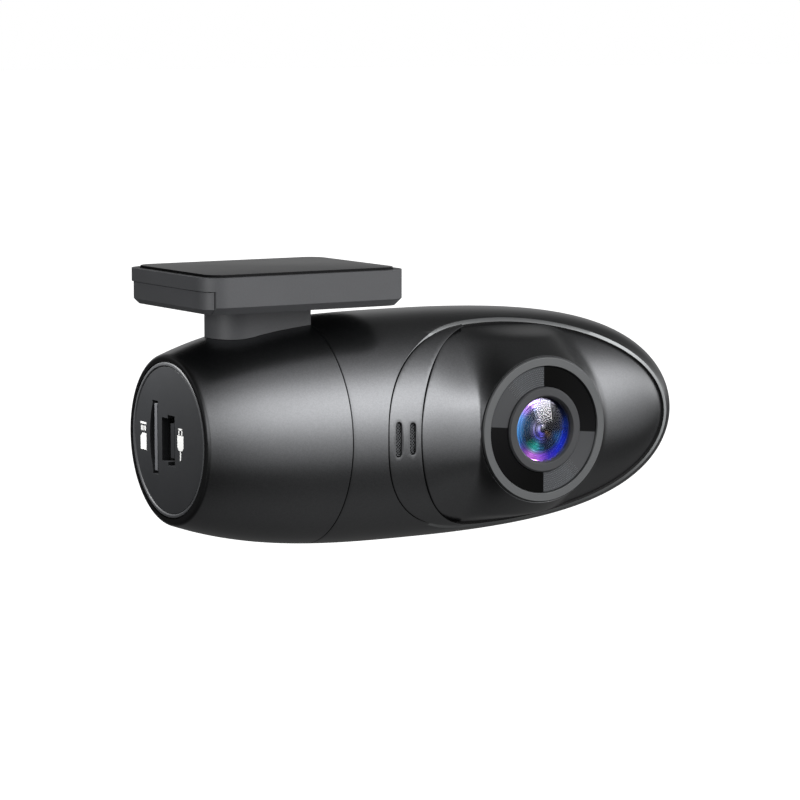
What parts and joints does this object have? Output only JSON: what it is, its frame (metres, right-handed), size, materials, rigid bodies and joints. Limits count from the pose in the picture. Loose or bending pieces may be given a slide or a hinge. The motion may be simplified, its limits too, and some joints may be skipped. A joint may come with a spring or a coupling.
{
  "type": "dash camera",
  "caption": "Torpedo-shaped car dash camera: fixed barrel with card slot and power socket, turning lens head, and slide-in windscreen mount.",
  "frame": {"origin": "centre of the adhesive pad's top face, where it meets the windscreen", "axes": "+Z out of the pad into the glass, +X along the body from the port end to the nose, -Y the way the lens looks at rest"},
  "size_m": [0.0975, 0.0402, 0.0468],
  "materials": {
    "pad_foam": "matt foam tape",
    "mount_plastic": "fine-textured charcoal",
    "hull_plastic": "satin black with a fine metallic grain",
    "trim_plastic": "satin charcoal",
    "port_plastic": "matt charcoal",
    "key_plastic": "satin black",
    "ring_metal": "satin grey anodised",
    "disc_plastic": "gloss black with grey sectors",
    "bezel_plastic": "matt dark grey",
    "optical_glass": "coated glass",
    "mesh_fabric": "woven black mesh",
    "steel": "plain",
    "contact_plastic": "grey moulding",
    "card_plastic": "black",
    "circuit_board": "green solder mask",
    "chip_resin": "black resin",
    "cell_sleeve": "blue sleeve",
    "clear_resin": "clear",
    "inner_plastic": "black glass-filled nylon",
    "tube_aluminium": "black anodised",
    "sensor_silicon": "silicon under cover glass",
    "ribbon_film": "amber polyimide"
  },
  "bodies": {
    "mount": {"adhesive_pad": "pad_foam", "mount_bracket": "mount_plastic"},
    "camera_body": {"slide_tray": "mount_plastic", "neck": "mount_plastic", "neck_screws": "steel", "barrel_shell": "hull_plastic", "port_trim_ring": "trim_plastic", "port_plate": "port_plastic", "main_board": "circuit_board", "processor": "chip_resin", "wireless_module": "steel", "supercapacitors": "cell_sleeve", "usb_socket": "steel", "usb_tongue": "contact_plastic", "card_socket": "steel", "board_connector": "contact_plastic", "key_switch": "chip_resin", "key_board": "circuit_board", "status_light": "clear_resin", "light_pipe": "clear_resin", "swivel_hub": "inner_plastic", "hub_screws": "steel", "retaining_ring": "steel"},
    "memory_card": {"memory_card": "card_plastic"},
    "function_key": {"function_key": "key_plastic"},
    "lens_head": {"friction_washer": "steel", "head_bulkhead": "inner_plastic", "head_shell": "hull_plastic", "mic_strip": "hull_plastic", "slot_mesh": "mesh_fabric", "speaker": "chip_resin", "microphone": "steel", "lens_cover": "hull_plastic", "lens_ring": "ring_metal", "decor_disc": "disc_plastic", "lens_bezel": "bezel_plastic", "front_lens": "optical_glass", "second_lens": "optical_glass", "lens_spacer": "inner_plastic", "aperture_disc": "inner_plastic", "third_lens": "optical_glass", "lens_tube": "tube_aluminium", "lens_holder": "inner_plastic", "infrared_filter": "optical_glass", "image_sensor": "sensor_silicon", "sensor_board": "circuit_board", "sensor_connector": "contact_plastic", "sensor_screws": "steel", "head_frame": "inner_plastic", "frame_screws": "steel", "ribbon_cable": "ribbon_film"}
  },
  "joints": [
    {"name": "mount_release", "type": "slide", "parent": "mount", "child": "camera_body", "axis": [-1, 0, 0], "range_m": [0, 0.036]},
    {"name": "head_swivel", "type": "hinge", "parent": "camera_body", "child": "lens_head", "pos_m": [0.0053, 0, -0.0275], "axis": [-1, 0, 0], "range_deg": [-45, 90], "deforming": ["ribbon_cable"]},
    {"name": "card_slide", "type": "slide", "parent": "camera_body", "child": "memory_card", "axis": [-1, 0, 0], "range_m": [-0.0008, 0.0145]},
    {"name": "key_press", "type": "slide", "parent": "camera_body", "child": "function_key", "axis": [0, -1, 0], "range_m": [0, 0.0004], "stiffness_N_per_m": 1200, "springref_m": -0.0003}
  ]
}
